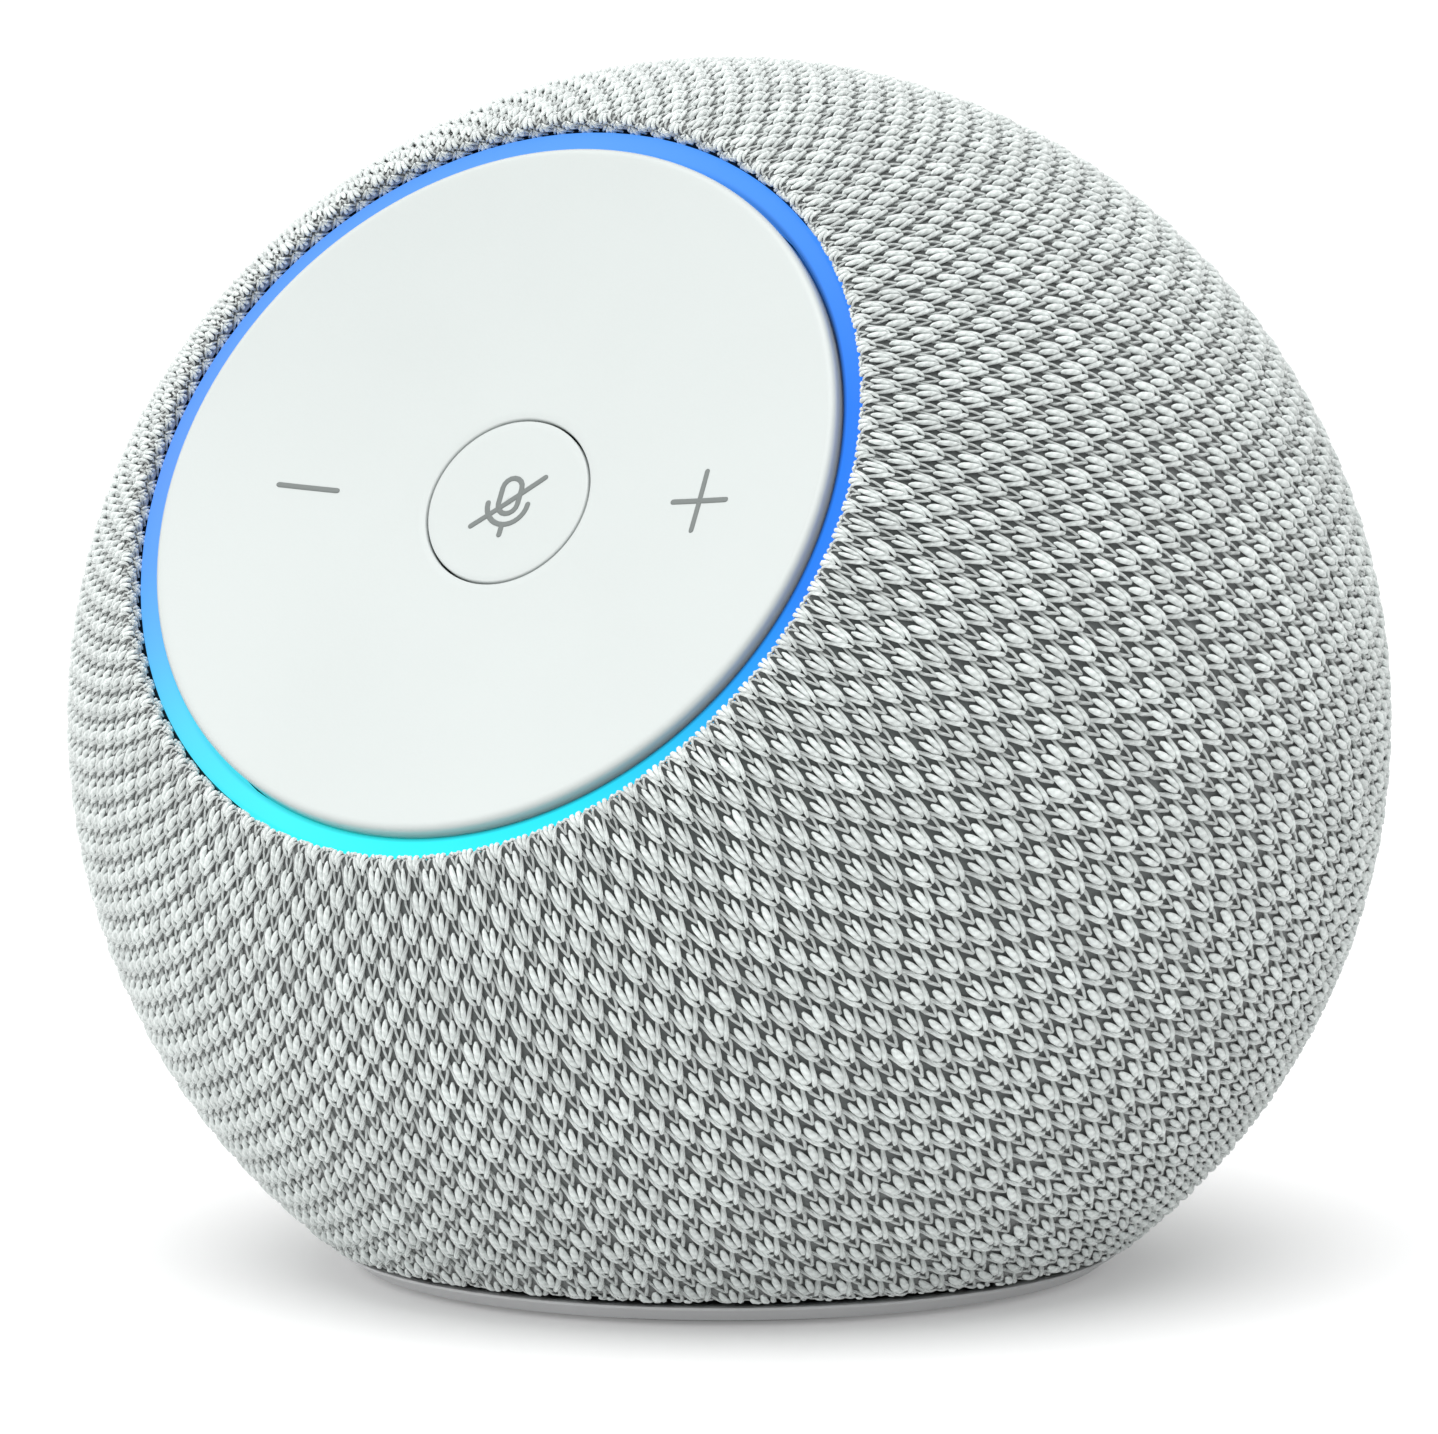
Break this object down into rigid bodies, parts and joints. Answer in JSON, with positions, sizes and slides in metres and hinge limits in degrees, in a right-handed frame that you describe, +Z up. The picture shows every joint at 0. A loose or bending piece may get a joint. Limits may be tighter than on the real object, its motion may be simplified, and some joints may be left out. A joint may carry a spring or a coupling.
{
  "type": "smart speaker",
  "caption": "Ball-shaped smart speaker with a knit cover, a tilted round touch disc with a sprung mute button, a glowing light ring, and woofer and tweeter inside.",
  "frame": {"origin": "centre of the base, on the surface that the speaker stands on", "axes": "+Z up; -Y is the front, towards which the control disc looks; +X is to the right seen from the front"},
  "size_m": [0.1086, 0.1084, 0.0992],
  "materials": {
    "knit": "knitted, matte",
    "face_plastic": "satin",
    "light_guide": "translucent, lit from behind",
    "base_plastic": "satin",
    "rubber": "matte",
    "housing_plastic": "moulded, fine grain",
    "circuit_board": "solder mask",
    "lamp": "clear",
    "steel": "plated",
    "painted_steel": "satin",
    "ferrite": "ground",
    "aluminium": "satin",
    "paper": "pressed pulp",
    "treated_cloth": "woven, stiffened",
    "copper": "enamelled wire",
    "conductive_foam": "soft",
    "connector_plastic": "moulded",
    "flex_film": "film",
    "lead_sheath": "satin"
  },
  "bodies": {
    "housing": {"knit_cover": "knit", "control_disc": "face_plastic", "light_ring": "light_guide", "base_ring": "base_plastic", "foot_pad": "rubber", "inlet_panel": "base_plastic", "power_socket": "steel", "upper_housing": "housing_plastic", "lower_housing": "housing_plastic", "housing_seal": "rubber", "face_carrier": "housing_plastic", "touch_board": "circuit_board", "touch_pads": "conductive_foam", "light_board": "circuit_board", "leds": "lamp", "mute_switch": "housing_plastic", "microphones": "steel", "mic_gaskets": "rubber", "base_plate": "housing_plastic", "sound_deflector": "housing_plastic", "woofer_baffle": "housing_plastic", "baffle_gasket": "rubber", "lead_grommet": "rubber", "woofer_basket": "painted_steel", "woofer_gasket": "rubber", "woofer_top_plate": "steel", "woofer_magnet": "ferrite", "woofer_yoke": "steel", "woofer_surround": "rubber", "woofer_spider": "treated_cloth", "tweeter_frame": "housing_plastic", "tweeter_pot": "steel", "tweeter_magnet": "ferrite", "tweeter_pole": "steel", "tweeter_surround": "rubber", "main_board": "circuit_board", "shield_can": "steel", "heat_sink": "aluminium", "board_connectors": "connector_plastic", "face_flex": "flex_film", "woofer_lead": "lead_sheath", "tweeter_lead": "lead_sheath", "power_lead": "lead_sheath", "base_screws": "steel", "housing_screws": "steel", "carrier_screws": "steel", "baffle_screws": "steel", "woofer_screws": "steel", "board_screws": "steel"},
    "button": {"mute_button": "face_plastic", "switch_plunger": "housing_plastic"},
    "woofer_motor": {"woofer_cone": "paper", "woofer_dust_cap": "paper", "woofer_coil": "copper"},
    "tweeter_motor": {"tweeter_dome": "aluminium", "tweeter_coil": "copper"}
  },
  "joints": [
    {"name": "mute_press", "type": "slide", "parent": "housing", "child": "button", "axis": [0, 0.866, -0.5], "range_m": [0, 0.0005], "stiffness_N_per_m": 1500, "springref_m": -0.0002},
    {"name": "woofer_stroke", "type": "slide", "parent": "housing", "child": "woofer_motor", "axis": [0, 0, 1], "range_m": [-0.0015, 0.0015], "stiffness_N_per_m": 1600, "deforming": ["woofer_surround", "woofer_spider"]},
    {"name": "tweeter_stroke", "type": "slide", "parent": "housing", "child": "tweeter_motor", "axis": [0, 0, 1], "range_m": [-0.0003, 0.0003], "stiffness_N_per_m": 3000, "deforming": ["tweeter_surround"]}
  ]
}
